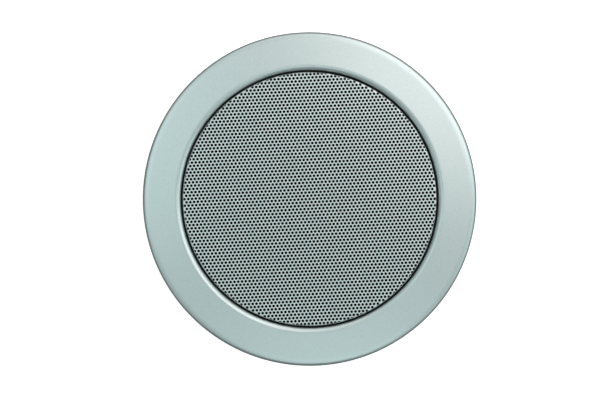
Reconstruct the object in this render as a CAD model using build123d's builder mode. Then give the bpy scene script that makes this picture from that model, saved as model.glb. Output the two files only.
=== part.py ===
"""Round in-ceiling loudspeaker: a two-way driver in a clamp-in frame with a trim ring and a perforated grille.

Millimetres. +Z points out of the front face, z = 0 is the ceiling face behind the flange, and the origin
lies on the speaker's axis. The speaker is modelled face up, standing on the back of its magnet.
"""

import os
from math import acos, asin, cos, degrees, hypot, radians, sin, sqrt, tan

from build123d import *

# Driving dimensions, from the axis outwards
coil_inner_radius = 12.5
former_wall = 0.25
winding_depth = 0.6
coil_running_gap = 0.4
cone_edge_radius = 50.2
surround_roll_radius = 3.3
surround_land = 3.4
basket_land = 7.3
screw_circle_inset = 3.7
clamp_offset = 8.0
clamp_to_ledge = 6.7
grille_ledge_width = 2.6
flange_width = 25.2

# Trim ring and grille
trim_height = 7.4
trim_slope = 4.0
trim_edge_radius = 2.6
trim_edge_brow = 18.0
trim_edge_tilt = 14.0
trim_lip_radius = 3.4
trim_wall = 2.2
trim_fit = 0.3
snap_bead = 0.9
snap_bead_height = 0.7
grille_gap = 1.3
grille_recess = 1.8
grille_sheet = 0.8
grille_bend_radius = 1.0
cloth_thickness = 0.5
perforation_pitch = 10.0
perforation_hole = 6.4
perforation_turn = 3.2

# Mounting frame
frame_flange_thickness = 2.2
recess_depth = 9.0
floor_thickness = 2.6
grille_ledge_depth = 1.0
recess_wall = 2.2
collar_groove = 3.6
collar_wall = 2.4
collar_rib_count = 24
collar_rib_width = 1.6
centring_rib_count = 6
centring_rib_width = 3.0
centring_fit = 0.1

# Woofer
gasket_thickness = 0.8
basket_sheet = 1.0
throat_depth = 6.0
throat_inset = 1.5
seat_inset = 1.0
seat_width = 6.0
spider_drop = 19.8
motor_drop = 28.8
window_count = 8
window_width = 20.0
window_height = 11.0
window_corner = 3.0
cone_sheet = 0.6
cone_depth = 17.2
cone_neck_height = 1.6
glue_gap = 0.05
dust_cap_radius = 16.5
dust_cap_rise = 6.0
surround_sheet = 0.6
surround_bond = 2.6
rim_gasket_height = 1.6
rim_gasket_width = 2.4
spider_sheet = 0.5
spider_wave_height = 1.6
spider_wave_count = 5
spider_bond = 2.4
spider_shelf_inset = 7.0
spider_shelf_width = 5.0
winding_length = 8.0
front_plate_thickness = 5.0
front_plate_radius = 37.5
magnet_radius = 40.0
magnet_bore_radius = 20.0
magnet_thickness = 15.0
back_plate_thickness = 5.0
plate_chamfer = 0.8
vent_radius = 4.5
pole_rise = 0.5
woofer_screw_count = 4
screw_hole_fit = 0.1
tag_board_length = 14.0
tag_board_height = 8.0
tag_board_thickness = 1.2
tag_width = 3.0
tag_length = 7.0
tag_thickness = 0.8
tag_spacing = 7.0

# Small screws: shank radius, head radius, head height
small_shank = 1.5
small_head = 3.2
small_head_height = 2.4
screw_point = 3.0

# Tweeter on its three-armed bridge
bridge_arm_count = 3
bridge_first_angle = 30.0
bridge_arm_width = 9.0
bridge_arm_thickness = 2.4
bridge_leg_radius = 4.0
bridge_leg_inset = 2.0
bridge_clearance = 0.9
bridge_screw_bite = 7.0
tweeter_pot_radius = 14.0
tweeter_pot_depth = 7.0
tweeter_pot_floor = 2.0
tweeter_gap_radius = 10.6
tweeter_magnet_radius = 8.0
tweeter_magnet_height = 3.0
tweeter_plate_radius = 8.6
tweeter_coil_wall = 0.6
tweeter_dome_radius = 9.6
tweeter_dome_rise = 2.2
tweeter_dome_lift = 0.4
tweeter_dome_sheet = 0.35
tweeter_land = 2.2
tweeter_roll_clearance = 0.5
tweeter_fit = 0.2
tweeter_cup_wall = 2.0
tweeter_cup_floor = 1.5
tweeter_ring_width = 2.2
tweeter_ring_height = 2.2

# Clamps
clamp_count = 3
clamp_first_angle = 78.0
clamp_screw_radius = 2.0
clamp_head_radius = 4.0
clamp_head_height = 2.8
clamp_cross_width = 1.0
clamp_cross_depth = 1.6
clamp_screw_fit = 0.3
dog_hub_radius = 5.5
dog_height = 11.0
dog_arm_length = 30.0
dog_arm_width = 9.0
dog_tip_thickness = 5.0
dog_tip_radius = 2.5
dog_bore_fit = 0.3
dog_groove_count = 4
dog_groove_pitch = 3.0
dog_groove_width = 1.2
dog_groove_depth = 0.8
clamp_travel = 28.0
clamp_play = 1.1
tower_clearance = 0.6
tower_wall = 2.2
tower_sweep = 166.0
tower_foot = 2.5
gusset_reach = 8.0
gusset_drop = 24.0
gusset_width = 2.0
dog_foot_gap = 0.2
screw_end = 2.0

# Crossover housing and its spring terminals
housing_half_length = 27.0
housing_depth = 24.0
housing_width = 20.5
housing_offset = 0.5
housing_wall = 1.8
housing_ear_length = 9.0
housing_ear_width = 9.0
housing_ear_thickness = 2.5
housing_ear_inset = 6.0
board_thickness = 1.6
board_half_length = 24.8
board_width = 11.0
board_drop = 3.2
board_gap = 0.4
post_radius = 1.6
capacitor_radius = 5.4
capacitor_length = 22.0
lead_radius = 0.4
coil_core_radius = 3.2
coil_flange_radius = 6.4
coil_height = 10.0
coil_flange_height = 1.2
terminal_length = 30.0
terminal_width = 12.0
terminal_flange_overhang = 2.0
terminal_flange_thickness = 2.0
terminal_height = 10.0
terminal_inside = 3.5
terminal_tag_rise = 2.2
terminal_spacing = 16.0
wire_hole_radius = 1.6
wire_hole_depth = 10.0
wire_hole_offset = 3.4
button_length = 7.0
button_width = 5.0
button_offset = 2.2
button_fit = 0.3
button_stand = 5.0
button_travel = 2.5
button_body = 5.0
button_chamfer = 0.8

# Heights worked out from the ceiling face
trim_top = trim_height
grille_top = trim_top - grille_recess
cloth_top = grille_top - grille_sheet
cloth_bottom = cloth_top - cloth_thickness
ledge_z = -grille_ledge_depth
floor_top = -recess_depth
floor_bottom = floor_top - floor_thickness
basket_flange_bottom = floor_top + gasket_thickness
basket_flange_top = basket_flange_bottom + basket_sheet
spider_z = basket_flange_top - spider_drop
motor_top = basket_flange_top - motor_drop - basket_sheet
magnet_top = motor_top - front_plate_thickness
magnet_bottom = magnet_top - magnet_thickness
back_z = magnet_bottom - back_plate_thickness

# Radii worked out from the axis outwards
former_radius = coil_inner_radius + former_wall
winding_radius = former_radius + winding_depth
pole_radius = coil_inner_radius - coil_running_gap
gap_radius = winding_radius + coil_running_gap
roll_outer_radius = cone_edge_radius + 2 * surround_roll_radius
surround_radius = roll_outer_radius + surround_land
driver_opening = surround_radius
basket_flange_radius = surround_radius + basket_land
screw_circle = basket_flange_radius - screw_circle_inset
clamp_circle = basket_flange_radius + clamp_offset
ledge_radius = clamp_circle + clamp_to_ledge
opening_radius = ledge_radius + grille_ledge_width
flange_radius = opening_radius + flange_width
skirt_radius = flange_radius - trim_wall
frame_flange_radius = skirt_radius - trim_fit
grille_radius = opening_radius - grille_gap
recess_outer = opening_radius + recess_wall
collar_inner = recess_outer + collar_groove
collar_radius = collar_inner + collar_wall
bridge_leg_circle = clamp_circle - bridge_leg_inset

# Directions round the axis, in degrees
clamp_angles = [clamp_first_angle + 360 / clamp_count * k for k in range(clamp_count)]
bridge_angles = [bridge_first_angle + 360 / bridge_arm_count * k for k in range(bridge_arm_count)]
woofer_screw_angles = [45 + 360 / woofer_screw_count * k for k in range(woofer_screw_count)]
housing_angle = 270.0


def on_circle(radius, angle, z=0.0):
    """A point at a radius and an angle round the speaker's axis."""
    return Vector(radius * cos(radians(angle)), radius * sin(radians(angle)), z)


def facing(angle):
    """A direction at an angle: outward round the axis, or in the plane of a section."""
    return Vector(cos(radians(angle)), sin(radians(angle)), 0)


def ring(inner, outer, bottom, height):
    """A flat ring about the axis, from its bottom face up."""
    with BuildPart() as made:
        with BuildSketch(Plane.XY.offset(bottom)):
            Circle(outer)
            Circle(inner, mode=Mode.SUBTRACT)
        extrude(amount=height)
    return made


def revolved_sheet(points, thickness, side):
    """A thin-walled part of revolution: a line of (radius, z) points, thickened to one side."""
    with BuildPart() as made:
        with BuildSketch(Plane.XZ):
            with BuildLine():
                Polyline(*points)
                offset(amount=thickness, side=side, kind=Kind.INTERSECTION)
            make_face()
        revolve(axis=Axis.Z)
    return made


def small_screws(places, head_z, pointing, length):
    """Pan-head screws at (x, y) places: heads on head_z, shanks running along pointing, +1 or -1 in z."""
    with BuildPart() as made:
        for place in places:
            with BuildSketch(Plane((place.X, place.Y, head_z))):
                Circle(small_shank)
            extrude(amount=pointing * length)
            with BuildSketch(Plane((place.X, place.Y, head_z))):
                Circle(small_head)
            extrude(amount=-pointing * small_head_height, taper=12)
    return made


# Trim ring: rolled inner lip, a face that falls a little outwards, a gentle brow and a small edge at the outer rim,
# and a snap bead under the flange
edge_turn = 90 - trim_edge_tilt
face_turn = 90 - trim_slope
lip_centre = Vector(opening_radius + trim_lip_radius, trim_top - trim_lip_radius)
face_start = lip_centre + facing(face_turn) * trim_lip_radius
edge_step = facing(edge_turn) * (trim_edge_brow - trim_edge_radius)
edge_brow_r = flange_radius - trim_edge_radius - edge_step.X
face_end_r = edge_brow_r + trim_edge_brow * cos(radians(face_turn))
face_end_z = face_start.Y - (face_end_r - face_start.X) * tan(radians(trim_slope))
edge_brow_centre = Vector(edge_brow_r, face_end_z - trim_edge_brow * sin(radians(face_turn)))
with BuildPart() as trim_ring:
    with BuildSketch(Plane.XZ):
        with BuildLine():
            edge = CenterArc(edge_brow_centre + edge_step, trim_edge_radius, 0, edge_turn)
            edge_brow = CenterArc(edge_brow_centre, trim_edge_brow, edge_turn, face_turn - edge_turn)
            lip = CenterArc(lip_centre, trim_lip_radius, face_turn, 180 - face_turn)
            Line(edge_brow @ 1, lip @ 0)
            trim_underside = (edge @ 1).Y - trim_wall
            Polyline(
                lip @ 1,
                (opening_radius, frame_flange_thickness),
                (opening_radius + trim_wall, frame_flange_thickness),
                (opening_radius + trim_wall, trim_underside),
                (skirt_radius, trim_underside),
                (skirt_radius, snap_bead_height + snap_bead / 2),
                (skirt_radius - snap_bead, snap_bead_height),
                (skirt_radius - snap_bead, 0),
                (flange_radius, 0),
                edge @ 0,
            )
        make_face()
    revolve(axis=Axis.Z)

# Grille: a perforated steel disc with its edge turned down into the frame
perforated_radius = grille_radius - grille_bend_radius - perforation_hole / 2
row_height = perforation_pitch * sqrt(3) / 2
reach = int(perforated_radius / row_height) + 1
perforations = [
    Vector(perforation_pitch * (column + (row % 2) / 2), row_height * row).rotate(Axis.Z, perforation_turn)
    for row in range(-reach, reach + 1)
    for column in range(-reach, reach + 1)
    if hypot(perforation_pitch * (column + (row % 2) / 2), row_height * row) <= perforated_radius
]
with BuildPart() as grille:
    with BuildSketch(Plane.XZ):
        with BuildLine():
            bend_centre = (grille_radius - grille_bend_radius, grille_top - grille_bend_radius)
            outer_bend = CenterArc(bend_centre, grille_bend_radius, 0, 90)
            inner_bend = CenterArc(bend_centre, grille_bend_radius - grille_sheet, 90, -90)
            Polyline(outer_bend @ 1, (0, grille_top), (0, cloth_top), inner_bend @ 0)
            Polyline(
                inner_bend @ 1,
                (grille_radius - grille_sheet, ledge_z),
                (grille_radius, ledge_z),
                outer_bend @ 0,
            )
        make_face()
    revolve(axis=Axis.Z)
    with BuildSketch(Plane.XY.offset(cloth_top)):
        with Locations(*perforations):
            RegularPolygon(perforation_hole / 2, 6)
    extrude(amount=grille_sheet, mode=Mode.SUBTRACT)

# Black acoustic cloth, glued behind the perforations
with BuildPart() as grille_cloth:
    with BuildSketch(Plane.XY.offset(cloth_bottom)):
        Circle(grille_radius - grille_bend_radius)
    extrude(amount=cloth_thickness)

# Mounting frame: flange, grille recess, driver floor, cut-out collar, clamp towers
tower_inner = dog_hub_radius + tower_clearance
tower_outer = tower_inner + tower_wall
dog_top_at_rest = floor_bottom - clamp_play - clamp_travel
dog_bottom_at_rest = dog_top_at_rest - dog_height
tower_foot_top = dog_bottom_at_rest - dog_foot_gap
tower_end = tower_foot_top - tower_foot
tower_root = floor_bottom + floor_thickness / 2
flange_step = frame_flange_radius - snap_bead
with BuildPart() as mounting_frame:
    with BuildSketch(Plane.XZ):
        with BuildLine():
            Polyline(
                (driver_opening, floor_bottom),
                (driver_opening, floor_top),
                (ledge_radius, floor_top),
                (ledge_radius, ledge_z),
                (opening_radius, ledge_z),
                (opening_radius, frame_flange_thickness),
                (frame_flange_radius, frame_flange_thickness),
                (frame_flange_radius, snap_bead_height + snap_bead / 2 + trim_fit),
                (flange_step, snap_bead_height + trim_fit),
                (flange_step, 0),
                (collar_radius, 0),
                (collar_radius, floor_bottom),
                (collar_inner, floor_bottom),
                (collar_inner, 0),
                (recess_outer, 0),
                (recess_outer, floor_bottom),
                close=True,
            )
        make_face()
    revolve(axis=Axis.Z)
    with BuildSketch(Plane.XY.offset(floor_bottom)):
        with PolarLocations((recess_outer + collar_inner) / 2, collar_rib_count):
            Rectangle(collar_groove + collar_wall, collar_rib_width)
    extrude(amount=-floor_bottom)
    with BuildSketch(Plane.XY.offset(ledge_z)):
        with PolarLocations((grille_radius + centring_fit + recess_outer) / 2, centring_rib_count):
            Rectangle(recess_outer - grille_radius - centring_fit, centring_rib_width)
    extrude(amount=frame_flange_thickness - ledge_z)
    for angle in clamp_angles:
        tower_back = facing(angle + 225)
        with BuildSketch(Plane(on_circle(clamp_circle, angle, tower_root), x_dir=tower_back, z_dir=(0, 0, -1))):
            with BuildLine():
                outer_wall = CenterArc((0, 0), tower_outer, -tower_sweep / 2, tower_sweep)
                inner_wall = CenterArc((0, 0), tower_inner, -tower_sweep / 2, tower_sweep)
                Line(outer_wall @ 0, inner_wall @ 0)
                Line(outer_wall @ 1, inner_wall @ 1)
            make_face()
        extrude(amount=tower_root - tower_foot_top + tower_foot / 2)
        with BuildSketch(Plane(on_circle(clamp_circle, angle, tower_end), x_dir=-tower_back)):
            Circle(tower_outer)
        extrude(amount=tower_foot)
        gusset_plane = Plane(on_circle(clamp_circle, angle), x_dir=tower_back, z_dir=tower_back.cross(Vector(0, 0, 1)))
        with BuildSketch(gusset_plane):
            Polygon(
                (tower_outer - tower_wall / 2, tower_root),
                (tower_outer + gusset_reach, tower_root),
                (tower_outer + gusset_reach, floor_bottom),
                (tower_outer - tower_wall / 2, floor_bottom - gusset_drop),
                align=None,
            )
        extrude(amount=gusset_width / 2, both=True)
        with BuildSketch(Plane(on_circle(clamp_circle, angle, tower_end))):
            Circle(clamp_screw_radius + clamp_screw_fit)
        extrude(amount=floor_top - tower_end, mode=Mode.SUBTRACT)
    with BuildSketch(Plane.XY.offset(floor_bottom)):
        with Locations(*[on_circle(screw_circle, angle) for angle in woofer_screw_angles]):
            Circle(small_shank + screw_hole_fit)
        with Locations(*[on_circle(bridge_leg_circle, angle) for angle in bridge_angles]):
            Circle(small_shank + screw_hole_fit)
        ear_reach = housing_half_length + housing_ear_length / 2
        housing_inner = basket_flange_radius + housing_offset
        ear_y = -(housing_inner + housing_ear_inset)
        with Locations((ear_reach, ear_y), (-ear_reach, ear_y)):
            Circle(small_shank + screw_hole_fit)
    extrude(amount=floor_thickness, mode=Mode.SUBTRACT)

# Foam gasket between the woofer's flange and the frame's floor
with BuildPart() as woofer_gasket:
    with BuildSketch(Plane.XY.offset(floor_top)):
        Circle(basket_flange_radius)
        Circle(driver_opening, mode=Mode.SUBTRACT)
        with Locations(*[on_circle(screw_circle, angle) for angle in woofer_screw_angles]):
            Circle(small_shank + 2 * screw_hole_fit, mode=Mode.SUBTRACT)
    extrude(amount=gasket_thickness)

# Woofer basket: pressed steel with windows all round, a spider shelf and a seat for the motor
basket_throat = roll_outer_radius + basket_sheet
spider_shelf_outer = cone_edge_radius - spider_shelf_inset
spider_shelf_inner = spider_shelf_outer - spider_shelf_width
wall_top_z = basket_flange_top - throat_depth
basket_line = [
    (basket_flange_radius, basket_flange_top),
    (basket_throat, basket_flange_top),
    (basket_throat - throat_inset, wall_top_z),
    (spider_shelf_outer, spider_z),
    (spider_shelf_inner, spider_z),
    (spider_shelf_inner - seat_inset, motor_top + basket_sheet),
    (gap_radius + seat_width, motor_top + basket_sheet),
]
window_angles = [360 / window_count * (k + 0.5) for k in range(window_count)]
window_z = (wall_top_z + spider_z) / 2
with BuildPart() as woofer_basket:
    with BuildSketch(Plane.XZ):
        with BuildLine():
            Polyline(*basket_line)
            offset(amount=basket_sheet, side=Side.LEFT, kind=Kind.INTERSECTION)
        make_face()
    revolve(axis=Axis.Z)
    for angle in window_angles:
        middle = on_circle((basket_throat + spider_shelf_outer) / 2, angle, window_z)
        with BuildSketch(Plane(middle, x_dir=facing(angle + 90), z_dir=facing(angle))):
            RectangleRounded(window_width, window_height, window_corner)
        extrude(amount=basket_throat / 4, both=True, mode=Mode.SUBTRACT)
    with BuildSketch(Plane.XY.offset(basket_flange_bottom)):
        with Locations(*[on_circle(screw_circle, angle) for angle in woofer_screw_angles]):
            Circle(small_shank + 2 * screw_hole_fit)
    extrude(amount=basket_sheet, mode=Mode.SUBTRACT)

# Moving parts of the woofer: cone, dust cap, coil, and the surround and spider that hold them
cone_top = basket_flange_top
cone_land_radius = cone_edge_radius - surround_bond
neck_radius = former_radius + glue_gap
neck_top = cone_top - cone_depth
cone = revolved_sheet(
    [
        (neck_radius, neck_top - cone_neck_height),
        (neck_radius, neck_top),
        (cone_land_radius, cone_top),
        (cone_edge_radius, cone_top),
    ],
    cone_sheet,
    Side.RIGHT,
)
cap_place = (dust_cap_radius - neck_radius) / (cone_land_radius - neck_radius)
cap_z = neck_top + cone_depth * cap_place + glue_gap
cap_ball = (dust_cap_radius**2 + dust_cap_rise**2) / (2 * dust_cap_rise)
cap_centre_z = cap_z + dust_cap_rise - cap_ball
with BuildPart() as dust_cap:
    with BuildSketch(Plane.XZ):
        with BuildLine():
            outer_start = degrees(asin((cap_z - cap_centre_z) / cap_ball))
            inner_start = degrees(asin((cap_z - cap_centre_z) / (cap_ball - cone_sheet)))
            outer_cap = CenterArc((0, cap_centre_z), cap_ball, outer_start, 90 - outer_start)
            inner_cap = CenterArc((0, cap_centre_z), cap_ball - cone_sheet, inner_start, 90 - inner_start)
            Line(outer_cap @ 0, inner_cap @ 0)
            Line(outer_cap @ 1, inner_cap @ 1)
        make_face()
    revolve(axis=Axis.Z)
gap_middle = motor_top - front_plate_thickness / 2
winding_bottom = gap_middle - winding_length / 2
coil_former = ring(coil_inner_radius, former_radius, winding_bottom, neck_top - winding_bottom)
voice_coil = ring(former_radius, winding_radius, winding_bottom, winding_length)
with BuildPart() as surround:
    with BuildSketch(Plane.XZ):
        with BuildLine():
            inner_land = Line((cone_land_radius, cone_top), (cone_edge_radius, cone_top))
            roll_top = (cone_edge_radius + surround_roll_radius, cone_top + surround_roll_radius)
            roll = ThreePointArc(inner_land @ 1, roll_top, (roll_outer_radius, cone_top))
            Line(roll @ 1, (surround_radius, cone_top))
            offset(amount=surround_sheet, side=Side.LEFT, kind=Kind.INTERSECTION)
        make_face()
    revolve(axis=Axis.Z)
rim_gasket_z = cone_top + surround_sheet
rim_gasket_inner = surround_radius - rim_gasket_width
rim_gasket = ring(rim_gasket_inner, surround_radius, rim_gasket_z, rim_gasket_height)
spider_inner_land = neck_radius + spider_bond
spider_outer_land = spider_shelf_inner + spider_bond / 4
wave = (spider_outer_land - spider_inner_land) / spider_wave_count
spider_line = [(neck_radius, spider_z), (spider_inner_land, spider_z)]
for k in range(spider_wave_count):
    start = spider_inner_land + k * wave
    spider_line.append((start + wave / 2, spider_z + spider_wave_height))
    spider_line.append((start + wave, spider_z))
spider_line.append((spider_shelf_outer - spider_bond / 4, spider_z))
spider = revolved_sheet(spider_line, spider_sheet, Side.LEFT)

# Motor: front plate, ferrite ring and back plate with its vented pole
front_plate = ring(gap_radius, front_plate_radius, magnet_top, front_plate_thickness)
with BuildPart() as magnet:
    with BuildSketch(Plane.XZ):
        with BuildLine():
            Polyline(
                (magnet_bore_radius, magnet_bottom),
                (magnet_radius - plate_chamfer, magnet_bottom),
                (magnet_radius, magnet_bottom + plate_chamfer),
                (magnet_radius, magnet_top - plate_chamfer),
                (magnet_radius - plate_chamfer, magnet_top),
                (magnet_bore_radius, magnet_top),
                close=True,
            )
        make_face()
    revolve(axis=Axis.Z)
with BuildPart() as back_plate:
    with BuildSketch(Plane.XZ):
        with BuildLine():
            Polyline(
                (vent_radius, back_z),
                (front_plate_radius - plate_chamfer, back_z),
                (front_plate_radius, back_z + plate_chamfer),
                (front_plate_radius, magnet_bottom),
                (pole_radius, magnet_bottom),
                (pole_radius, motor_top + pole_rise),
                (vent_radius, motor_top + pole_rise),
                close=True,
            )
        make_face()
    revolve(axis=Axis.Z)

# Tag board, on the strut of the basket that faces the crossover housing
wall_run = Vector(basket_throat - throat_inset - spider_shelf_outer, 0, wall_top_z - spider_z).normalized()
wall_middle = (basket_throat - throat_inset + spider_shelf_outer) / 2
board_out = facing(housing_angle) * wall_run.Z - Vector(0, 0, wall_run.X)
board_origin = on_circle(wall_middle, housing_angle, window_z) + board_out * basket_sheet
tag_plane = Plane(board_origin, x_dir=facing(housing_angle + 90), z_dir=board_out)
with BuildPart() as tag_board:
    with BuildSketch(tag_plane):
        RectangleRounded(tag_board_length, tag_board_height, 1)
    extrude(amount=tag_board_thickness)
with BuildPart() as woofer_tags:
    with BuildSketch(tag_plane.offset(tag_board_thickness)):
        with Locations((-tag_spacing / 2, 0), (tag_spacing / 2, 0)):
            Rectangle(tag_width, tag_length)
    extrude(amount=tag_thickness)

woofer_screws = small_screws(
    [on_circle(screw_circle, angle) for angle in woofer_screw_angles],
    basket_flange_top,
    -1,
    basket_sheet + gasket_thickness + floor_thickness + screw_point,
)

# Tweeter: pot, magnet, plate, coil, dome and face ring, in the cup of a three-armed bridge
bridge_top = cloth_bottom - bridge_clearance
ring_bottom = bridge_top - tweeter_ring_height
pot_top = ring_bottom - tweeter_dome_sheet
pot_bottom = pot_top - tweeter_pot_depth
cup_bore = tweeter_pot_radius + tweeter_fit
cup_mouth = cup_bore + tweeter_ring_width
cup_radius = cup_mouth + tweeter_cup_wall
with BuildPart() as tweeter_bridge:
    with BuildSketch(Plane.XZ):
        with BuildLine():
            Polyline(
                (0, pot_bottom - tweeter_cup_floor),
                (cup_radius, pot_bottom - tweeter_cup_floor),
                (cup_radius, bridge_top),
                (cup_mouth, bridge_top),
                (cup_mouth, ring_bottom),
                (cup_bore, ring_bottom),
                (cup_bore, pot_bottom),
                (0, pot_bottom),
                close=True,
            )
        make_face()
    revolve(axis=Axis.Z)
    arm_start = cup_mouth + tweeter_cup_wall / 2
    for angle in bridge_angles:
        arm_middle = on_circle((arm_start + bridge_leg_circle) / 2, angle, bridge_top)
        with BuildSketch(Plane(arm_middle, x_dir=facing(angle))):
            Rectangle(bridge_leg_circle - arm_start, bridge_arm_width)
        extrude(amount=-bridge_arm_thickness)
        with BuildSketch(Plane(on_circle(bridge_leg_circle, angle, floor_top))):
            Circle(bridge_leg_radius)
        extrude(amount=bridge_top - floor_top)
        with BuildSketch(Plane(on_circle(bridge_leg_circle, angle, floor_top))):
            Circle(small_shank + screw_hole_fit)
        extrude(amount=bridge_screw_bite + screw_hole_fit, mode=Mode.SUBTRACT)
with BuildPart() as tweeter_pot:
    with BuildSketch(Plane.XZ):
        with BuildLine():
            Polyline(
                (0, pot_bottom),
                (tweeter_pot_radius, pot_bottom),
                (tweeter_pot_radius, pot_top),
                (tweeter_gap_radius, pot_top),
                (tweeter_gap_radius, pot_bottom + tweeter_pot_floor),
                (0, pot_bottom + tweeter_pot_floor),
                close=True,
            )
        make_face()
    revolve(axis=Axis.Z)
with BuildPart() as tweeter_magnet:
    with BuildSketch(Plane.XY.offset(pot_bottom + tweeter_pot_floor)):
        Circle(tweeter_magnet_radius)
    extrude(amount=tweeter_magnet_height)
tweeter_plate_bottom = pot_bottom + tweeter_pot_floor + tweeter_magnet_height
with BuildPart() as tweeter_plate:
    with BuildSketch(Plane.XY.offset(tweeter_plate_bottom)):
        Circle(tweeter_plate_radius)
    extrude(amount=pot_top - tweeter_plate_bottom)
dome_z = pot_top + tweeter_dome_lift
tweeter_coil = ring(
    tweeter_dome_radius - tweeter_coil_wall / 2,
    tweeter_dome_radius + tweeter_coil_wall / 2,
    tweeter_plate_bottom,
    dome_z - tweeter_plate_bottom,
)
with BuildPart() as tweeter_dome:
    with BuildSketch(Plane.XZ):
        with BuildLine():
            land_inner = tweeter_pot_radius - tweeter_land
            roll_line = Polyline(
                (tweeter_pot_radius, pot_top),
                (land_inner, pot_top),
                ((land_inner + tweeter_dome_radius) / 2, dome_z + tweeter_dome_lift),
                (tweeter_dome_radius, dome_z),
            )
            dome_ball = (tweeter_dome_radius**2 + tweeter_dome_rise**2) / (2 * tweeter_dome_rise)
            dome_start = degrees(acos(tweeter_dome_radius / dome_ball))
            dome_centre = (0, dome_z + tweeter_dome_rise - dome_ball)
            CenterArc(dome_centre, dome_ball, dome_start, 90 - dome_start)
            offset(amount=tweeter_dome_sheet, side=Side.RIGHT, kind=Kind.INTERSECTION)
        make_face()
    revolve(axis=Axis.Z)
with BuildPart() as tweeter_ring:
    with BuildSketch(Plane.XZ):
        with BuildLine():
            Polyline(
                (land_inner + tweeter_roll_clearance, ring_bottom),
                (cup_mouth - tweeter_fit, ring_bottom),
                (cup_mouth - tweeter_fit, bridge_top),
                (land_inner + tweeter_land, bridge_top),
                close=True,
            )
        make_face()
    revolve(axis=Axis.Z)
bridge_screws = small_screws(
    [on_circle(bridge_leg_circle, angle) for angle in bridge_angles],
    floor_bottom,
    1,
    floor_thickness + bridge_screw_bite,
)


def clamp_screw(angle):
    """A cross-head screw that stands in the frame's floor and foot and carries one clamp dog."""
    with BuildPart() as made:
        with BuildSketch(Plane(on_circle(clamp_circle, angle, tower_end - screw_end))):
            Circle(clamp_screw_radius)
        extrude(amount=floor_top - tower_end + screw_end)
        with BuildSketch(Plane(on_circle(clamp_circle, angle, floor_top))):
            Circle(clamp_head_radius)
        extrude(amount=clamp_head_height)
        head_top = Plane(on_circle(clamp_circle, angle, floor_top + clamp_head_height), x_dir=facing(angle))
        with BuildSketch(head_top):
            Rectangle(clamp_head_radius, clamp_cross_width)
            Rectangle(clamp_cross_width, clamp_head_radius)
        extrude(amount=-clamp_cross_depth, mode=Mode.SUBTRACT)
    return made


def clamp_dog(angle):
    """One clamp dog, folded along the frame: a hub on the screw and a tapered arm with a grooved tip."""
    along = facing(angle + 90)
    foot = on_circle(clamp_circle, angle, dog_bottom_at_rest)
    with BuildPart() as made:
        with BuildSketch(Plane(foot)):
            Circle(dog_hub_radius)
        extrude(amount=dog_height)
        with BuildSketch(Plane(foot, x_dir=along, z_dir=along.cross(Vector(0, 0, 1)))):
            Polygon(
                (0, 0),
                (dog_hub_radius, 0),
                (dog_arm_length, dog_height - dog_tip_thickness),
                (dog_arm_length, dog_height),
                (0, dog_height),
                align=None,
            )
        extrude(amount=dog_arm_width / 2, both=True)
        tip = foot + along * dog_arm_length + Vector(0, 0, dog_height)
        fillet(made.edges().filter_by(Axis.Z).sort_by_distance(tip)[:2], dog_tip_radius)
        with BuildSketch(Plane(foot, x_dir=along).offset(dog_height)):
            for k in range(dog_groove_count):
                with Locations((dog_arm_length - dog_groove_pitch * (k + 1), 0)):
                    Rectangle(dog_groove_width, dog_arm_width)
        extrude(amount=-dog_groove_depth, mode=Mode.SUBTRACT)
        with BuildSketch(Plane(foot)):
            Circle(clamp_screw_radius + dog_bore_fit)
        extrude(amount=dog_height, mode=Mode.SUBTRACT)
    return made


# Crossover housing: a curved box under the frame's floor, with two screw ears
housing_outer = housing_inner + housing_width
housing_bottom = floor_bottom - housing_depth
housing_floor = housing_bottom + housing_wall
terminal_y = -(housing_inner + housing_width / 2)
board_y = -(housing_inner + housing_wall + board_gap + board_width / 2)
board_top = floor_bottom - board_drop
board_bottom = board_top - board_thickness
post_x = board_half_length - 2 * lead_radius - post_radius
with BuildPart() as crossover_housing:
    with BuildSketch(Plane.XY.offset(housing_bottom)):
        Circle(housing_outer)
        Circle(housing_inner, mode=Mode.SUBTRACT)
        with Locations((0, -housing_outer / 2)):
            Rectangle(2 * housing_half_length, housing_outer, mode=Mode.INTERSECT)
    extrude(amount=housing_depth)
    with BuildSketch(Plane.XY.offset(housing_floor)):
        Circle(housing_outer - housing_wall)
        Circle(housing_inner + housing_wall, mode=Mode.SUBTRACT)
        with Locations((0, -housing_outer / 2)):
            Rectangle(2 * (housing_half_length - housing_wall), housing_outer, mode=Mode.INTERSECT)
    extrude(amount=housing_depth - housing_wall, mode=Mode.SUBTRACT)
    with BuildSketch(Plane.XY.offset(floor_bottom)):
        with Locations((ear_reach - housing_wall / 4, ear_y), (housing_wall / 4 - ear_reach, ear_y)):
            Rectangle(housing_ear_length + housing_wall / 2, housing_ear_width)
        with Locations((ear_reach, ear_y), (-ear_reach, ear_y)):
            Circle(small_shank + 2 * screw_hole_fit, mode=Mode.SUBTRACT)
    extrude(amount=-housing_ear_thickness)
    with BuildSketch(Plane.XY.offset(housing_floor)):
        with Locations((post_x, board_y), (-post_x, board_y)):
            Circle(post_radius)
    extrude(amount=board_bottom - housing_floor)
    with BuildSketch(Plane.XY.offset(housing_bottom)):
        with Locations((0, terminal_y)):
            Rectangle(terminal_length + 2 * button_fit, terminal_width + 2 * button_fit)
    extrude(amount=housing_wall, mode=Mode.SUBTRACT)
housing_screws = small_screws(
    [Vector(ear_reach, ear_y), Vector(-ear_reach, ear_y)],
    floor_bottom - housing_ear_thickness,
    1,
    housing_ear_thickness + floor_thickness - screw_hole_fit,
)
with BuildPart() as crossover_board:
    with BuildSketch(Plane.XY.offset(board_bottom)):
        with Locations((0, board_y)):
            Rectangle(2 * board_half_length, board_width)
    extrude(amount=board_thickness)
capacitor_x = -board_half_length / 3
capacitor_z = board_bottom - capacitor_radius
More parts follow.
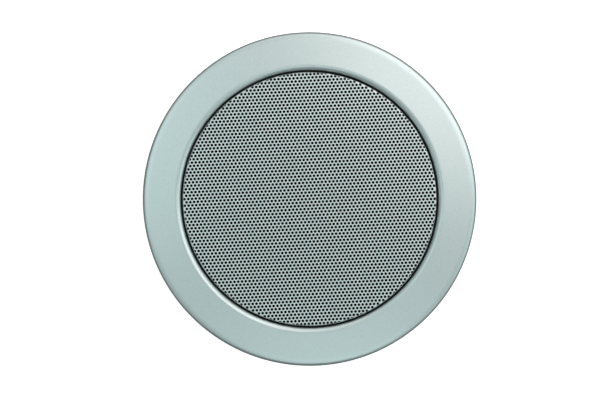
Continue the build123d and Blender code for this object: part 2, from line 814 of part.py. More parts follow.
with BuildPart() as capacitor:
    with BuildSketch(Plane((capacitor_x, board_y, capacitor_z), z_dir=(1, 0, 0))):
        Circle(capacitor_radius)
    extrude(amount=capacitor_length / 2, both=True)
    with BuildSketch(Plane((capacitor_x, board_y, capacitor_z), z_dir=(1, 0, 0))):
        Circle(lead_radius)
    extrude(amount=capacitor_length / 2 + 3 * lead_radius, both=True)
    lead_x = capacitor_length / 2 + 2 * lead_radius
    with BuildSketch(Plane.XY.offset(capacitor_z)):
        with Locations((capacitor_x + lead_x, board_y), (capacitor_x - lead_x, board_y)):
            Circle(lead_radius)
    extrude(amount=capacitor_radius)
coil_x = board_half_length / 2
with BuildPart() as coil_bobbin:
    for bottom, radius, height in (
        (board_bottom - coil_flange_height, coil_flange_radius, coil_flange_height),
        (board_bottom - coil_height, coil_core_radius, coil_height),
        (board_bottom - coil_height, coil_flange_radius, coil_flange_height),
    ):
        with BuildSketch(Plane((coil_x, board_y, bottom))):
            Circle(radius)
        extrude(amount=height)
with BuildPart() as coil_winding:
    with BuildSketch(Plane((coil_x, board_y, board_bottom - coil_height + coil_flange_height))):
        Circle(coil_flange_radius - coil_flange_height / 2)
        Circle(coil_core_radius, mode=Mode.SUBTRACT)
    extrude(amount=coil_height - 2 * coil_flange_height)

# Spring terminals: a block in the housing's back with two wire holes and two push buttons
terminal_top = housing_floor + terminal_inside
terminal_bottom = housing_bottom - terminal_height
channel_places = [(terminal_spacing / 2, terminal_y), (-terminal_spacing / 2, terminal_y)]
button_pocket = button_body + button_travel + button_fit
with BuildPart() as terminal_block:
    with BuildSketch(Plane.XY.offset(terminal_bottom)):
        with Locations((0, terminal_y)):
            Rectangle(terminal_length, terminal_width)
    extrude(amount=terminal_top - terminal_bottom)
    with BuildSketch(Plane.XY.offset(housing_bottom)):
        with Locations((0, terminal_y)):
            flange_length = terminal_length + 2 * terminal_flange_overhang
            RectangleRounded(flange_length, terminal_width + 2 * terminal_flange_overhang, terminal_flange_overhang)
    extrude(amount=-terminal_flange_thickness)
    with BuildSketch(Plane.XY.offset(terminal_bottom)):
        for x, y in channel_places:
            with Locations((x, y - wire_hole_offset)):
                Circle(wire_hole_radius)
    extrude(amount=wire_hole_depth, mode=Mode.SUBTRACT)
    with BuildSketch(Plane.XY.offset(terminal_bottom)):
        for x, y in channel_places:
            with Locations((x, y + button_offset)):
                Rectangle(button_length + 2 * button_fit, button_width + 2 * button_fit)
    extrude(amount=button_pocket, mode=Mode.SUBTRACT)
with BuildPart() as terminal_tags:
    with BuildSketch(Plane.XY.offset(terminal_top)):
        with Locations(*channel_places):
            Rectangle(tag_width, tag_thickness)
    extrude(amount=terminal_tag_rise)


def terminal_button(place):
    """One push button of the spring terminals, standing out of the back of its block."""
    with BuildPart() as made:
        with BuildSketch(Plane.XY.offset(terminal_bottom - button_stand)):
            with Locations((place[0], place[1] + button_offset)):
                Rectangle(button_length, button_width)
        extrude(amount=button_stand + button_body)
        chamfer(made.faces().sort_by(Axis.Z)[0].edges(), button_chamfer)
    return made


pieces = {
    "trim_ring": trim_ring,
    "grille": grille,
    "grille_cloth": grille_cloth,
    "mounting_frame": mounting_frame,
    "woofer_gasket": woofer_gasket,
    "woofer_basket": woofer_basket,
    "rim_gasket": rim_gasket,
    "surround": surround,
    "cone": cone,
    "dust_cap": dust_cap,
    "coil_former": coil_former,
    "voice_coil": voice_coil,
    "spider": spider,
    "front_plate": front_plate,
    "magnet": magnet,
    "back_plate": back_plate,
    "tag_board": tag_board,
    "woofer_tags": woofer_tags,
    "woofer_screws": woofer_screws,
    "tweeter_bridge": tweeter_bridge,
    "tweeter_pot": tweeter_pot,
    "tweeter_magnet": tweeter_magnet,
    "tweeter_plate": tweeter_plate,
    "tweeter_coil": tweeter_coil,
    "tweeter_dome": tweeter_dome,
    "tweeter_ring": tweeter_ring,
    "bridge_screws": bridge_screws,
    "crossover_housing": crossover_housing,
    "housing_screws": housing_screws,
    "crossover_board": crossover_board,
    "capacitor": capacitor,
    "coil_bobbin": coil_bobbin,
    "coil_winding": coil_winding,
    "terminal_block": terminal_block,
    "terminal_tags": terminal_tags,
    "terminal_button_red": terminal_button(channel_places[0]),
    "terminal_button_black": terminal_button(channel_places[1]),
}
for k, angle in enumerate(clamp_angles):
    pieces[f"clamp_screw_{k + 1}"] = clamp_screw(angle)
    pieces[f"clamp_dog_{k + 1}"] = clamp_dog(angle)

os.makedirs("parts", exist_ok=True)
for name, piece in pieces.items():
    piece.part.label = name
    export_step(piece.part, f"parts/{name}.step")
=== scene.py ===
# %% [markdown]
# # An in-ceiling speaker, seen straight on
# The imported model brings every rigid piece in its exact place. This lesson dresses it: it turns the trim
# ring on a lathe, perforates the grille, gives each piece its material, and lights it as in a small
# product studio.

import math

import bpy
import numpy as np
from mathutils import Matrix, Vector
from mathutils.geometry import delaunay_2d_cdt


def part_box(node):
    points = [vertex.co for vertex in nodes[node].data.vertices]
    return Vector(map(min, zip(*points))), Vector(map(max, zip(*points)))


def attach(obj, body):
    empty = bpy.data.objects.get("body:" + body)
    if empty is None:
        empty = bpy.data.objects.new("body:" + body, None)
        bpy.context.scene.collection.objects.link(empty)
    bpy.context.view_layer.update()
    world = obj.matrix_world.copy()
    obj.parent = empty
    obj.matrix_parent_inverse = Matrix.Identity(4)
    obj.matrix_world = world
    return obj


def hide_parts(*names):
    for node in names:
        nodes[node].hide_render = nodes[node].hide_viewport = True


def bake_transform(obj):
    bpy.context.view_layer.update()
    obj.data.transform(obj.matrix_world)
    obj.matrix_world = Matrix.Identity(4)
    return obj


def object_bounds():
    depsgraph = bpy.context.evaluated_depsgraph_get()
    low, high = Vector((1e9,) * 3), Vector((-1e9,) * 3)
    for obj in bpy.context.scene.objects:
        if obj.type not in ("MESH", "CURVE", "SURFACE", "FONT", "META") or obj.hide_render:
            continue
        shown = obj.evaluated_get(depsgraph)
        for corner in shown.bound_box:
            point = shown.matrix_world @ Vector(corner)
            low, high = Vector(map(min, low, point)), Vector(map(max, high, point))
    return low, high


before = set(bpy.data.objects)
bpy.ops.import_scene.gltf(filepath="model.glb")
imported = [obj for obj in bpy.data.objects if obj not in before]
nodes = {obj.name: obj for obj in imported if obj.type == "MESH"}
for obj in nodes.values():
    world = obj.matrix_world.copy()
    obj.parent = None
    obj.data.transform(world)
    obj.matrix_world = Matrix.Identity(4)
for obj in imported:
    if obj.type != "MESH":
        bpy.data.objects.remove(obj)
cad_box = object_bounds()
MM = 0.001

# %% [markdown]
# ## Colours, materials and pieces
# Colours are picked as sRGB hex values, the way a paint chart gives them, and shaders want linear light.
# A material is a little graph, so one function adds a node, sets its inputs and joins it to others.
# Another makes a piece from points and faces: neighbouring faces shade as one smooth surface, unless they
# meet at a sharp angle.

# %% Colour and node helpers


def paint(code):
    """A hex sRGB colour as linear RGBA."""
    parts = [int(code[i : i + 2], 16) / 255 for i in (1, 3, 5)]
    return (*[c / 12.92 if c <= 0.04045 else ((c + 0.055) / 1.055) ** 2.4 for c in parts], 1.0)


def add(material, kind, inputs=(), links=(), **settings):
    """Adds a node: settings on it, constants on its inputs, and links from (node, output) to its inputs."""
    tree = material.node_tree
    node = tree.nodes.new(kind)
    for name, value in settings.items():
        setattr(node, name, value)
    for name, value in inputs:
        node.inputs[name].default_value = value
    for name, (source, output) in links:
        tree.links.new(source.outputs[output], node.inputs[name])
    return node


def start_material(name):
    """An empty material with its surface output."""
    material = bpy.data.materials.new(name)
    material.use_nodes = True
    material.node_tree.nodes.clear()
    return material


def finish_material(material, shader):
    """Joins the finished shader to the surface."""
    add(material, "ShaderNodeOutputMaterial", links=[("Surface", (shader, "BSDF"))])
    return material


def make_piece(name, points, faces, material, sharp_degrees):
    """A mesh in the scene, smooth except along edges that turn by more than the angle."""
    mesh = bpy.data.meshes.new(name)
    mesh.from_pydata(points, [], faces)
    mesh.materials.append(material)
    mesh.shade_smooth()
    mesh.set_sharp_from_angle(angle=math.radians(sharp_degrees))
    piece = bpy.data.objects.new(name, mesh)
    bpy.context.scene.collection.objects.link(piece)
    return piece


print("middle grey in linear light:", [round(c, 3) for c in paint("#808080")])

# %% [markdown]
# ## Silver paint
# The trim ring is moulded ABS and the grille is steel, both sprayed with the same satin silver. Silver
# paint is fine aluminium flake in a clear binder: mostly metallic, softer than bare metal, a little cool
# in tone. Single flakes are too fine to see from a metre away, but they cloud together in spots just
# under a millimetre wide, so a small variation in tone and roughness of that size stands for them. The
# colour goes to a dull grey where a surface turns away from the front: in the holes, down the steep lip,
# under the ring and most of all on the skirt. Partly this is the spray, which comes from the front, so
# the coat thins there and the grey moulding shows. Partly it is painted shade: the dark hole walls, the
# shaded lip and the dark outline round the ring are painted into the colour. The upward part of the
# normal tells how square to the front a surface stands, and the distance from the axis tells where the
# skirt begins. Two limits on that upward part set where the grey is full and where the silver is whole,
# and a third number is what the skirt takes off it.

# %% Satin silver spray paint
FLAKE_MM, FLAKE_SPREAD = 0.8, 0.08
# This grey is partly a thin coat and partly painted shade: the skirt's dark outline, the shaded lip, the
# hole walls and the underside.
THIN_COAT_AND_SHADE = "#4a5151"
DARK_EDGE_UP, FULL_SILVER_UP, METAL_SHARE = 0.1, 0.5, 0.75
SKIRT_MM, SKIRT_FADE_MM, SKIRT_SHADE = 107.4, 1.0, 0.53


def silver_paint(name, dull, bright, roughness):
    material = start_material(name)
    place = add(material, "ShaderNodeTexCoord")
    flake = add(
        material,
        "ShaderNodeTexNoise",
        inputs=[("Scale", 1 / (FLAKE_MM * MM)), ("Detail", 2.0)],
        links=[("Vector", (place, "Object"))],
    )
    spread = add(
        material,
        "ShaderNodeMapRange",
        inputs=[("To Min", roughness - FLAKE_SPREAD), ("To Max", roughness + FLAKE_SPREAD)],
        links=[("Value", (flake, "Fac"))],
    )
    # Painted shade: the colour goes to the grey where the normal turns away from the front, and more on the
    # skirt.
    turned = add(material, "ShaderNodeSeparateXYZ", links=[("Vector", (place, "Normal"))])
    reach = add(material, "ShaderNodeVectorMath", links=[(0, (place, "Object"))], operation="LENGTH")
    skirt = add(
        material,
        "ShaderNodeMapRange",
        inputs=[
            ("From Min", SKIRT_MM * MM),
            ("From Max", (SKIRT_MM + SKIRT_FADE_MM) * MM),
            ("To Max", SKIRT_SHADE),
        ],
        links=[("Value", (reach, "Value"))],
    )
    square = add(
        material,
        "ShaderNodeMath",
        links=[(0, (turned, "Z")), (1, (skirt, "Result"))],
        operation="SUBTRACT",
    )
    coat_and_shade = add(
        material,
        "ShaderNodeMapRange",
        inputs=[("From Min", DARK_EDGE_UP), ("From Max", FULL_SILVER_UP)],
        links=[("Value", (square, "Value"))],
        interpolation_type="SMOOTHSTEP",
    )
    clouds = add(
        material,
        "ShaderNodeMixRGB",
        inputs=[("Color1", paint(dull)), ("Color2", paint(bright))],
        links=[("Fac", (flake, "Fac"))],
    )
    coat = add(
        material,
        "ShaderNodeMixRGB",
        inputs=[("Color1", paint(THIN_COAT_AND_SHADE))],
        links=[("Fac", (coat_and_shade, "Result")), ("Color2", (clouds, "Color"))],
    )
    metal = add(
        material,
        "ShaderNodeMapRange",
        inputs=[("To Max", METAL_SHARE)],
        links=[("Value", (coat_and_shade, "Result"))],
    )
    shader = add(
        material,
        "ShaderNodeBsdfPrincipled",
        inputs=[("IOR", 1.5)],
        links=[
            ("Metallic", (metal, "Result")),
            ("Roughness", (spread, "Result")),
            ("Base Color", (coat, "Color")),
        ],
    )
    return finish_material(material, shader)


# Both carry that painted shade: on the ring's lip, skirt and underside, and on the grille's hole walls.
silver_on_abs = silver_paint("satin silver paint on moulded ABS", "#bccac9", "#d5e1e0", 0.36)
silver_on_steel = silver_paint("satin silver paint on perforated steel", "#ced9d8", "#e5eeed", 0.38)
print("silver finishes:", silver_on_abs.name, "and", silver_on_steel.name)

# %% [markdown]
# ## Moulded plastics, rubber and foam
# These are all dull and dark, and differ in their surface: spark-eroded texture on the ABS, open grain on
# foam, a soft skin on rubber. One bump from noise, at the size of that grain in millimetres, tells them
# apart.

# %% Plain materials with a fine grain


def grained(name, code, roughness, grain_mm, depth_mm, ior=1.5, metallic=0.0, sheen=0.0):
    material = start_material(name)
    place = add(material, "ShaderNodeTexCoord")
    grain = add(
        material,
        "ShaderNodeTexNoise",
        inputs=[("Scale", 1 / (grain_mm * MM)), ("Detail", 3.0)],
        links=[("Vector", (place, "Object"))],
    )
    bump = add(
        material,
        "ShaderNodeBump",
        inputs=[("Strength", 0.6), ("Distance", depth_mm * MM)],
        links=[("Height", (grain, "Fac"))],
    )
    shader = add(
        material,
        "ShaderNodeBsdfPrincipled",
        inputs=[
            ("Base Color", paint(code)),
            ("Roughness", roughness),
            ("Metallic", metallic),
            ("IOR", ior),
            ("Sheen Weight", sheen),
        ],
        links=[("Normal", (bump, "Normal"))],
    )
    return finish_material(material, shader)


black_abs = grained("spark-textured black ABS", "#1d1d1e", 0.55, 0.6, 0.05, ior=1.54)
gloss_black = grained("polished black ABS", "#161616", 0.28, 2.0, 0.01, ior=1.54)
red_abs = grained("moulded red ABS", "#a3161a", 0.30, 2.0, 0.01, ior=1.54)
foam = grained("closed-cell foam", "#171718", 0.9, 0.5, 0.15, ior=1.45)
rubber = grained("moulded nitrile rubber", "#151515", 0.48, 0.8, 0.02, ior=1.52)
polymer = grained("mica-filled polypropylene", "#2b2b2c", 0.42, 0.7, 0.02, ior=1.49)
ferrite = grained("ground ferrite", "#343130", 0.62, 0.4, 0.03, ior=1.9)
phenolic = grained("phenolic sheet", "#5a3216", 0.5, 0.8, 0.02, ior=1.6)
resist = grained("solder resist on glass fibre", "#1d5a36", 0.35, 0.5, 0.01, ior=1.55)
tape = grained("yellow polyester tape", "#c39a2e", 0.32, 1.5, 0.01, ior=1.58)
print("grained finishes made")

# %% [markdown]
# ## Metals
# The motor plates and screws are zinc-plated, the tags tinned brass, the coils enamelled copper, the
# basket black-coated steel. Plating and drawing leave a faint grain, so these get the same bump, only
# shallower.

# %% Metals and coated steel
zinc = grained("zinc-plated steel", "#a6abae", 0.42, 1.2, 0.008, metallic=1.0)
brass = grained("tinned brass", "#cdb27a", 0.32, 1.0, 0.008, metallic=1.0)
copper = grained("enamelled copper wire", "#b3652f", 0.35, 0.6, 0.02, metallic=1.0)
foil = grained("aluminium foil", "#cfd0d0", 0.3, 1.0, 0.01, metallic=1.0)
coated_steel = grained("black electrophoretic coat on steel", "#18191a", 0.4, 0.8, 0.015, ior=1.52)
print("metal finishes made")

# %% [markdown]
# ## Woven cloth
# The scrim behind the grille, the spider and the tweeter dome are woven. Two sets of waves, one for the
# warp and one for the weft, make a thread pattern from the thread spacing, and the bump is their product.
# Loose fibres trap light, so the mirror part of these is kept low.

# %% Woven cloths


def woven(name, code, roughness, thread_mm, depth_mm):
    material = start_material(name)
    place = add(material, "ShaderNodeTexCoord")
    # One wave band spans pi / 10 of a unit at scale 1, so this scale gives one band to each thread.
    scale = math.pi / 10 / (thread_mm * MM)
    threads = [
        add(
            material,
            "ShaderNodeTexWave",
            inputs=[("Scale", scale), ("Distortion", 0.3)],
            links=[("Vector", (place, "Object"))],
            bands_direction=direction,
        )
        for direction in ("X", "Y")
    ]
    weave = add(
        material,
        "ShaderNodeMath",
        links=[(0, (threads[0], "Fac")), (1, (threads[1], "Fac"))],
        operation="MULTIPLY",
    )
    bump = add(
        material,
        "ShaderNodeBump",
        inputs=[("Strength", 0.8), ("Distance", depth_mm * MM)],
        links=[("Height", (weave, "Value"))],
    )
    shader = add(
        material,
        "ShaderNodeBsdfPrincipled",
        inputs=[
            ("Base Color", paint(code)),
            ("Roughness", roughness),
            ("IOR", 1.45),
            ("Specular IOR Level", 0.15),
        ],
        links=[("Normal", (bump, "Normal"))],
    )
    return finish_material(material, shader)


scrim = woven("black acoustic scrim", "#121314", 0.95, 0.5, 0.1)
spider_cloth = woven("resin-stiffened cotton", "#b98a4c", 0.8, 0.7, 0.1)
silk = woven("coated silk", "#1a1a1c", 0.6, 0.4, 0.03)
print("woven finishes made")

# %% [markdown]
# ## A lathe
# Most of this speaker is turned or pressed about one axis. A lathe takes a section, as radius and height
# in millimetres, and carries it round. A closed section, listed clockwise with the radius to the right,
# makes a closed ring.

# %% The lathe
TURN_SHARP = 35


def lathe(name, section, material, steps):
    """A closed ring, turned from a section of (radius, height) in millimetres."""
    ring = np.linspace(0, 2 * math.pi, steps, endpoint=False)
    points = [(r * math.cos(a) * MM, r * math.sin(a) * MM, z * MM) for a in ring for r, z in section]
    count = len(section)
    faces = []
    for i in range(steps):
        here, there = i * count, (i + 1) % steps * count
        for k in range(count):
            n = (k + 1) % count
            faces.append((here + k, here + n, there + n, there + k))
    print(name, "turned from", count, "section points")
    return make_piece(name, points, faces, material, TURN_SHARP)


def arc(centre, radius, first, last, steps):
    """Points of (radius, height) along an arc, in degrees anticlockwise from outward."""
    return [
        (centre[0] + radius * math.cos(math.radians(a)), centre[1] + radius * math.sin(math.radians(a)))
        for a in np.linspace(first, last, steps)
    ]


print("quarter of a unit arc:", [(round(r, 2), round(z, 2)) for r, z in arc((0, 0), 1, 0, 90, 3)])

# %% [markdown]
# ## The trim ring
# One moulding: a rolled lip round the grille, a broad face that falls away slightly towards the outside,
# then a gentle brow and a small edge. It is the largest bright surface in view, so it is turned again
# here with a finer section than the CAD mesh, on the same sizes. A close point at each end of the face
# keeps its shading flat.

# %% Turn the trim ring
low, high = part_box("trim_ring")
flange_r = min(-low.x, -low.y, high.x, high.y) / MM
trim_top = high.z / MM
opening_r = 84.8
edge_r, edge_brow, lip_r, wall, seat = 2.6, 18.0, 3.4, 2.2, 2.2
bead, bead_top, bead_low = 0.9, 1.15, 0.7
face_slope, edge_slope = 4, 14
face_turn, edge_turn = 90 - face_slope, 90 - edge_slope
edge_steps, brow_steps, lip_steps = 14, 8, 20


def step(length, angle):
    """How far a length reaches outwards and upwards at an angle from outwards."""
    return length * math.cos(math.radians(angle)), length * math.sin(math.radians(angle))


lip_centre = (opening_r + lip_r, trim_top - lip_r)
face_start = arc(lip_centre, lip_r, face_turn, face_turn, 1)[0]
edge_out, edge_up = step(edge_brow - edge_r, edge_turn)
edge_centre_r = flange_r - edge_r - edge_out
face_end_r = edge_centre_r + step(edge_brow, face_turn)[0]
face_end_z = face_start[1] - (face_end_r - face_start[0]) * math.tan(math.radians(face_slope))
edge_centre = (edge_centre_r, face_end_z - step(edge_brow, face_turn)[1])
corner_centre = (edge_centre[0] + edge_out, edge_centre[1] + edge_up)
underside = corner_centre[1] + step(edge_r, edge_turn)[1] - wall
skirt_r = flange_r - wall
near_end, near_start = (
    tuple(a + (b - a) * share for a, b in zip((face_end_r, face_end_z), face_start))
    for share in (0.02, 0.98)
)
trim_section = (
    arc(corner_centre, edge_r, 0, edge_turn, edge_steps)
    + arc(edge_centre, edge_brow, edge_turn, face_turn, brow_steps)[1:]
    + [near_end, near_start]
    + arc(lip_centre, lip_r, face_turn, 180, lip_steps)
    + [(opening_r, seat), (opening_r + wall, seat), (opening_r + wall, underside), (skirt_r, underside)]
    + [(skirt_r, bead_top), (skirt_r - bead, bead_low), (skirt_r - bead, 0), (flange_r, 0)]
)
print("trim face from", round(face_start[0], 1), "to", round(face_end_r, 1), "mm")
trim = lathe("turned_trim_ring", trim_section[::-1], silver_on_abs, steps=256)
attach(trim, "frame")
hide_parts("trim_ring")

# %% [markdown]
# ## The perforated grille
# The sheet is punched flat, in rows a third of a turn apart, and then its edge is drawn down over a
# former, so the outermost holes ride over the bend. The same order works here: lay out round holes on a
# flat disc, let a constrained Delaunay triangulation fill the metal between them, and then wrap the rim.
# Booleans would take minutes for four thousand holes, and a texture would lose the depth that makes each
# hole dark.

# %% Lay out the punch pattern
PITCH, HOLE, SHEET, BEND = 2.49, 1.92, 0.8, 1.0
ROW_TURN = math.radians(3.1)
HOLE_SIDES = 10
PUNCHED_PAST_FLAT = 0.8
low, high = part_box("grille")
grille_r = high.x / MM
grille_top, skirt_end = high.z / MM, low.z / MM
flat_r = grille_r - BEND
punched_r = flat_r + PUNCHED_PAST_FLAT
bend_length = BEND * math.pi / 2
blank_r = flat_r + bend_length + (grille_top - BEND - skirt_end)
row = PITCH * math.sqrt(3) / 2
rows_out = int(punched_r / row) + 2
centres = []
for j in range(-rows_out, rows_out + 1):
    for i in range(-rows_out, rows_out + 1):
        x, y = PITCH * (i + (j % 2) / 2), row * j
        if math.hypot(x, y) <= punched_r:
            turned_x = x * math.cos(ROW_TURN) - y * math.sin(ROW_TURN)
            turned_y = x * math.sin(ROW_TURN) + y * math.cos(ROW_TURN)
            centres.append((turned_x, turned_y))
print(len(centres), "holes punched")

# %% [markdown]
# The triangulation wants every hole as a loop of edges. Rings of points along the bend let it curve
# smoothly, and they keep clear of the holes. A triangle with all three corners on one hole is what the
# punch takes out.

# %% Fill the metal between the holes
RIM_STEPS, BEND_STEPS, HOLE_CLEARANCE = 360, 7, 0.12
outline = []
edges = []
for cx, cy in centres:
    first = len(outline)
    for k in range(HOLE_SIDES):
        a = 2 * math.pi * k / HOLE_SIDES
        outline.append(Vector((cx + HOLE / 2 * math.cos(a), cy + HOLE / 2 * math.sin(a))))
        edges.append((first + k, first + (k + 1) % HOLE_SIDES))
hole_points = len(outline)
punched = np.array(centres)
for r in [*np.linspace(flat_r, flat_r + bend_length, BEND_STEPS), blank_r]:
    first = len(outline)
    for k in range(RIM_STEPS):
        a = 2 * math.pi * k / RIM_STEPS
        point = np.array((r * math.cos(a), r * math.sin(a)))
        if r == blank_r or np.hypot(*(punched - point).T).min() > HOLE / 2 + HOLE_CLEARANCE:
            outline.append(Vector(point))
edges += [(first + k, first + (k + 1) % RIM_STEPS) for k in range(RIM_STEPS)]
blank_rim = range(first, first + RIM_STEPS)
corners, _, triangles, origins, _, _ = delaunay_2d_cdt(outline, edges, [], 1, 1e-6)
owner = [o[0] // HOLE_SIDES if o[0] < hole_points else -1 - o[0] for o in origins]
metal = [t for t in triangles if len({owner[v] for v in t}) > 1]
print(len(metal), "triangles of metal,", len(triangles) - len(metal), "punched out")

# %% [markdown]
# The blank is now flat. Past the flat part, distance along the sheet becomes an angle round the bend, and
# past the bend it becomes depth down the skirt. The back skin lies a sheet's thickness below the front
# one, less on the bend, where drawing stretches the sheet. Walls in the holes and along the rim join the
# two skins.

# %% Draw the rim down and join the two skins
GRILLE_SHARP = 40
THINNEST_SHARE = 0.2


def drawn(x, y, below):
    """Where a point of the flat blank lies once the rim is drawn down, below its top skin."""
    r = math.hypot(x, y)
    along = r - flat_r
    if along <= 0:
        return Vector((x, y, grille_top - below)) * MM
    below *= max(THINNEST_SHARE, 1 - along / BEND)
    turn = min(along, bend_length) / BEND
    radius = flat_r + (BEND - below) * math.sin(turn)
    z = grille_top - BEND + (BEND - below) * math.cos(turn) - max(0.0, along - bend_length)
    return Vector((x * radius / r, y * radius / r, z)) * MM


skin_points = len(corners)
points = [drawn(c.x, c.y, below) for below in (0.0, SHEET) for c in corners]
faces = [tuple(t) for t in metal] + [tuple(skin_points + v for v in t[::-1]) for t in metal]
place_of = {o[0]: i for i, o in enumerate(origins)}
loops = [range(h * HOLE_SIDES, (h + 1) * HOLE_SIDES) for h in range(len(centres))]
for loop in [*loops, blank_rim[::-1]]:
    rim = [place_of[v] for v in loop]
    for here, there in zip(rim, rim[1:] + rim[:1]):
        faces.append((here, there, skin_points + there, skin_points + here))
grille = make_piece("perforated_grille", points, faces, silver_on_steel, GRILLE_SHARP)
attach(grille, "frame")
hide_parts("grille")
print("grille has", sum(len(f) - 2 for f in faces), "triangles")

# %% [markdown]
# ## Surround and spider
# These two flex when the cone moves: the rubber half-roll at its rim and the pleated cloth disc at its
# neck. Their outer edges are glued to the basket and their inner edges to the cone, so in use each point
# moves with the cone by its radius. Here they are turned at rest, and that share is only worked out. The
# spider's pleats are round here, where the solid has straight ones.

# %% Turn the two flexing rings
cone_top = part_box("surround")[0].z / MM
roll_in, roll_out, roll_r, skin, roll_steps = 50.2, 56.8, 3.3, 0.6, 17
glued_in, glued_out = 47.6, 60.2
roll_middle = (roll_in + roll_out) / 2
over = arc((roll_middle, cone_top), roll_r + skin, 170, 10, roll_steps)
under = arc((roll_middle, cone_top), roll_r, 0, 180, roll_steps)
surround_section = (
    [(glued_in, cone_top + skin), *over, (glued_out, cone_top + skin), (glued_out, cone_top)]
    + under
    + [(glued_in, cone_top)]
)
surround = lathe("flexing_surround", surround_section, rubber, steps=160)
spider_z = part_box("spider")[0].z / MM
neck_r, pleat_in, pleat_out, land_r, cloth = 12.8, 15.2, 38.8, 42.6, 0.5
pleats, pleat_wave, pleat_steps = 5, 0.8, 80
line = [(neck_r, 0.0)]
for k in range(pleat_steps + 1):
    share = k / pleat_steps
    height = pleat_wave - pleat_wave * math.cos(2 * math.pi * pleats * share)
    line.append((pleat_in + (pleat_out - pleat_in) * share, height))
line.append((land_r, 0.0))
spider_section = [(r, spider_z + h + cloth) for r, h in line] + [(r, spider_z + h) for r, h in line[::-1]]
spider = lathe("flexing_spider", spider_section, spider_cloth, steps=128)

# %% Hide their solids and work out each point's share of the cone's travel
for piece, inner, outer, node, finish in (
    (surround, roll_in, roll_out, "surround", "black_rubber"),
    (spider, pleat_in, pleat_out, "spider", "resin_cloth"),
):
    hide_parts(node)
    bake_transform(piece)
    radii = np.array([v.co.to_2d().length for v in piece.data.vertices]) / MM
    share = np.clip((outer - radii) / (outer - inner), 0, 1)
    print(piece.name, "follows the cone from", outer, "mm in to", inner, "mm")

# %% [markdown]
# ## The clamp screws' threads
# The solids of the clamp screws are plain rods. Each gets its thread here, a ridge of triangular section
# wound up the rod from its end to the frame's floor. It runs out at both ends, and is low enough to clear
# the dog's bore.

# %% Wind the threads
ROD_R, HEAD, FLOOR = 2.0, 2.8, 2.6
LEAD, RIDGE, FLANK, SUNK, WIND_STEPS = 1.4, 0.22, 0.45, 0.05, 24
RUN_OUT = 0.6


def wound_thread(name, x, y, bottom, top):
    """A closed ridge wound right-handed round an upright rod, in millimetres."""
    count = int((top - bottom) / LEAD * WIND_STEPS)
    points = []
    for i in range(count + 1):
        a = 2 * math.pi * i / WIND_STEPS
        z = bottom + LEAD * i / WIND_STEPS
        full = min(1.0, (i + 1) / WIND_STEPS, (count + 1 - i) / WIND_STEPS)
        foot, crest = ROD_R - SUNK, ROD_R + RIDGE * full
        for r, h in ((foot, -FLANK * full), (crest, 0.0), (foot, FLANK * full)):
            points.append(((x + r * math.cos(a)) * MM, (y + r * math.sin(a)) * MM, (z + h) * MM))
    faces = [(0, 1, 2)]
    for i in range(count):
        for k in range(3):
            n = (k + 1) % 3
            faces.append((3 * i + k, 3 * i + 3 + k, 3 * i + 3 + n, 3 * i + n))
    faces.append((3 * count + 2, 3 * count + 1, 3 * count))
    return make_piece(name, points, faces, zinc, TURN_SHARP)


for k in (1, 2, 3):
    low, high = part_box(f"clamp_screw_{k}")
    x, y = (low.x + high.x) / 2 / MM, (low.y + high.y) / 2 / MM
    bottom, top = low.z / MM + RUN_OUT, high.z / MM - HEAD - FLOOR - RUN_OUT
    thread = wound_thread(f"clamp_thread_{k}", x, y, bottom, top)
    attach(thread, f"clamp_screw_{k}")
    print(thread.name, "wound with", len(thread.data.polygons), "faces")

# %% [markdown]
# ## Everything behind the grille
# The other pieces keep their CAD meshes and get their materials. Listing the pieces under each material
# shows at a glance what is made of what.

# %% Give each piece its material
dressing = {
    scrim: ["grille_cloth"],
    black_abs: [
        "mounting_frame",
        "tweeter_bridge",
        "tweeter_ring",
        "crossover_housing",
        "clamp_dog_1",
        "clamp_dog_2",
        "clamp_dog_3",
    ],
    gloss_black: ["terminal_block", "terminal_button_black", "coil_bobbin"],
    red_abs: ["terminal_button_red"],
    foam: ["woofer_gasket", "rim_gasket"],
    coated_steel: ["woofer_basket"],
    polymer: ["cone", "dust_cap"],
    foil: ["coil_former"],
    copper: ["voice_coil", "tweeter_coil", "coil_winding"],
    zinc: [
        "front_plate",
        "back_plate",
        "woofer_screws",
        "bridge_screws",
        "housing_screws",
        "clamp_screw_1",
        "clamp_screw_2",
        "clamp_screw_3",
        "tweeter_pot",
        "tweeter_magnet",
        "tweeter_plate",
    ],
    ferrite: ["magnet"],
    phenolic: ["tag_board"],
    brass: ["woofer_tags", "terminal_tags"],
    silk: ["tweeter_dome"],
    resist: ["crossover_board"],
    tape: ["capacitor"],
}
for material, names in dressing.items():
    for name in names:
        mesh = nodes[name].data
        mesh.materials.clear()
        mesh.materials.append(material)
dressed = sum(len(names) for names in dressing.values())
print(dressed, "pieces dressed, and", len(nodes) - dressed, "made anew")

# %% [markdown]
# ## The studio
# The speaker stands on the back of its magnet with its face up, and the camera hangs straight above it.
# The floor is pale and glows for the camera, so the background is white and the shadow stays faint, and
# it reaches thirty metres out, so that no view from the side shows its end.

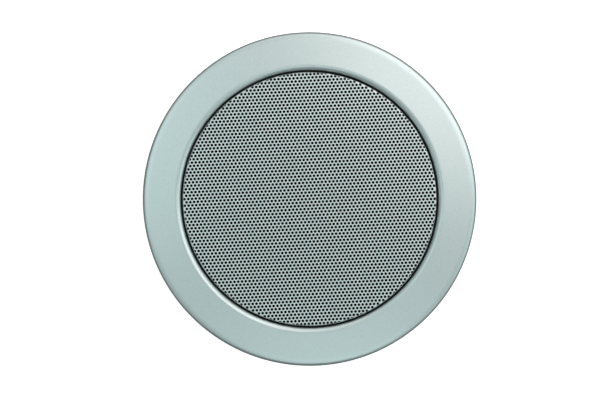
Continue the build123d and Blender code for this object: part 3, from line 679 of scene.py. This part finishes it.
# %% Floor
FLOOR_GLOW = 0.7
floor_z = cad_box[0][2]
half = 30.0
mesh = bpy.data.meshes.new("studio_floor")
mesh.from_pydata(
    [(-half, -half, floor_z), (half, -half, floor_z), (half, half, floor_z), (-half, half, floor_z)],
    [],
    [(0, 1, 2, 3)],
)
floor = bpy.data.objects.new("studio_floor", mesh)
bpy.context.scene.collection.objects.link(floor)
pale = start_material("pale studio paper")
path = add(pale, "ShaderNodeLightPath")
mirrored = add(
    pale,
    "ShaderNodeMath",
    links=[(0, (path, "Is Camera Ray")), (1, (path, "Is Glossy Ray"))],
    operation="MAXIMUM",
)
seen = add(
    pale,
    "ShaderNodeMath",
    links=[(0, (mirrored, "Value")), (1, (path, "Is Transmission Ray"))],
    operation="MAXIMUM",
)
glow = add(
    pale,
    "ShaderNodeMath",
    inputs=[(1, FLOOR_GLOW)],
    links=[(0, (seen, "Value"))],
    operation="MULTIPLY",
)
paper = add(
    pale,
    "ShaderNodeBsdfPrincipled",
    inputs=[("Base Color", paint("#eeeeec")), ("Roughness", 0.9), ("Emission Color", (1, 1, 1, 1))],
    links=[("Emission Strength", (glow, "Value"))],
)
finish_material(pale, paper)
floor.data.materials.append(pale)
print("floor at", round(floor_z / MM, 1), "mm")

# %% [markdown]
# ## Light
# The face is nearly flat, so it mirrors what hangs above it, softened by the paint: four high soft boxes
# set its tone round the ring, brightest to the upper right. Six low ones reach the rolled lip and the
# outer edge, where the surface leans over, and give the glint on the lip at the lower left. All are wide
# and weak, so that no view from the side catches a hard reflection.

# %% Sky, and how to hang a soft box
world = bpy.data.worlds.new("studio")
bpy.context.scene.world = world
world.use_nodes = True
sky = world.node_tree.nodes["Background"]
sky.inputs["Color"].default_value = (0.93, 1.0, 1.0, 1.0)
sky.inputs["Strength"].default_value = 0.2
print("sky strength", sky.inputs["Strength"].default_value)


def soft_box(name, azimuth, power, colour, elevation, distance, size):
    """A square lamp that faces the speaker, in degrees, metres and watts."""
    lamp = bpy.data.lights.new(name, "AREA")
    lamp.size = size
    lamp.energy = power
    lamp.color = paint(colour)[:3]
    holder = bpy.data.objects.new(name, lamp)
    a, e = math.radians(azimuth), math.radians(elevation)
    holder.location = (
        distance * math.cos(e) * math.cos(a),
        distance * math.cos(e) * math.sin(a),
        distance * math.sin(e),
    )
    holder.rotation_euler = (-holder.location).to_track_quat("-Z", "Y").to_euler()
    bpy.context.scene.collection.objects.link(holder)


# %% Hang the soft boxes
KEY, FILL = "#fff8f7", "#ecffff"
HIGH = {"elevation": 62, "distance": 1.4, "size": 0.8}
LOW = {"elevation": 24, "distance": 0.8, "size": 0.7}
LOW_WIDE = {"elevation": 26, "distance": 0.8, "size": 0.9}
soft_box("high key", 44, 3.5, KEY, **HIGH)
soft_box("high upper fill", 90, 0.4, KEY, **HIGH)
soft_box("high left fill", 163, 2.3, FILL, **HIGH)
soft_box("high lower fill", 275, 2.1, FILL, **HIGH)
soft_box("low key", 45, 2.3, KEY, **LOW_WIDE)
soft_box("low right fill", 0, 1.6, FILL, **LOW)
soft_box("low upper fill", 90, 1.5, KEY, **LOW)
soft_box("low corner fill", 315, 0.5, FILL, **LOW)
soft_box("low left fill", 135, 0.6, FILL, **LOW)
soft_box("low far fill", 200, 0.55, FILL, **LOW)
print(len(bpy.data.lights), "soft boxes hung")

# %% [markdown]
# ## Camera
# A long lens, straight on the axis. The distance makes the ring's outline, two millimetres over the
# ceiling, as wide in the frame as in the photograph, and a small lens shift puts it as far off the
# middle.

# %% Hang the camera
WIDTH_PX, RING_PX = 603, 333.4
OFF_RIGHT_PX, OFF_UP_PX = -8.1, -1.0
OUTLINE_MM = 2
camera = bpy.data.cameras.new("camera")
camera.lens = 100
camera.sensor_width = 36
camera.sensor_fit = "HORIZONTAL"
camera.shift_x = OFF_RIGHT_PX / WIDTH_PX
camera.shift_y = OFF_UP_PX / WIDTH_PX
eye = bpy.data.objects.new("camera", camera)
frame_width = 2 * flange_r * MM * WIDTH_PX / RING_PX
eye.location = (0, 0, OUTLINE_MM * MM + frame_width * camera.lens / camera.sensor_width)
bpy.context.scene.collection.objects.link(eye)
bpy.context.scene.camera = eye
bpy.context.scene.view_settings.view_transform = "Standard"
print("camera at", round(eye.location.z, 3), "m")
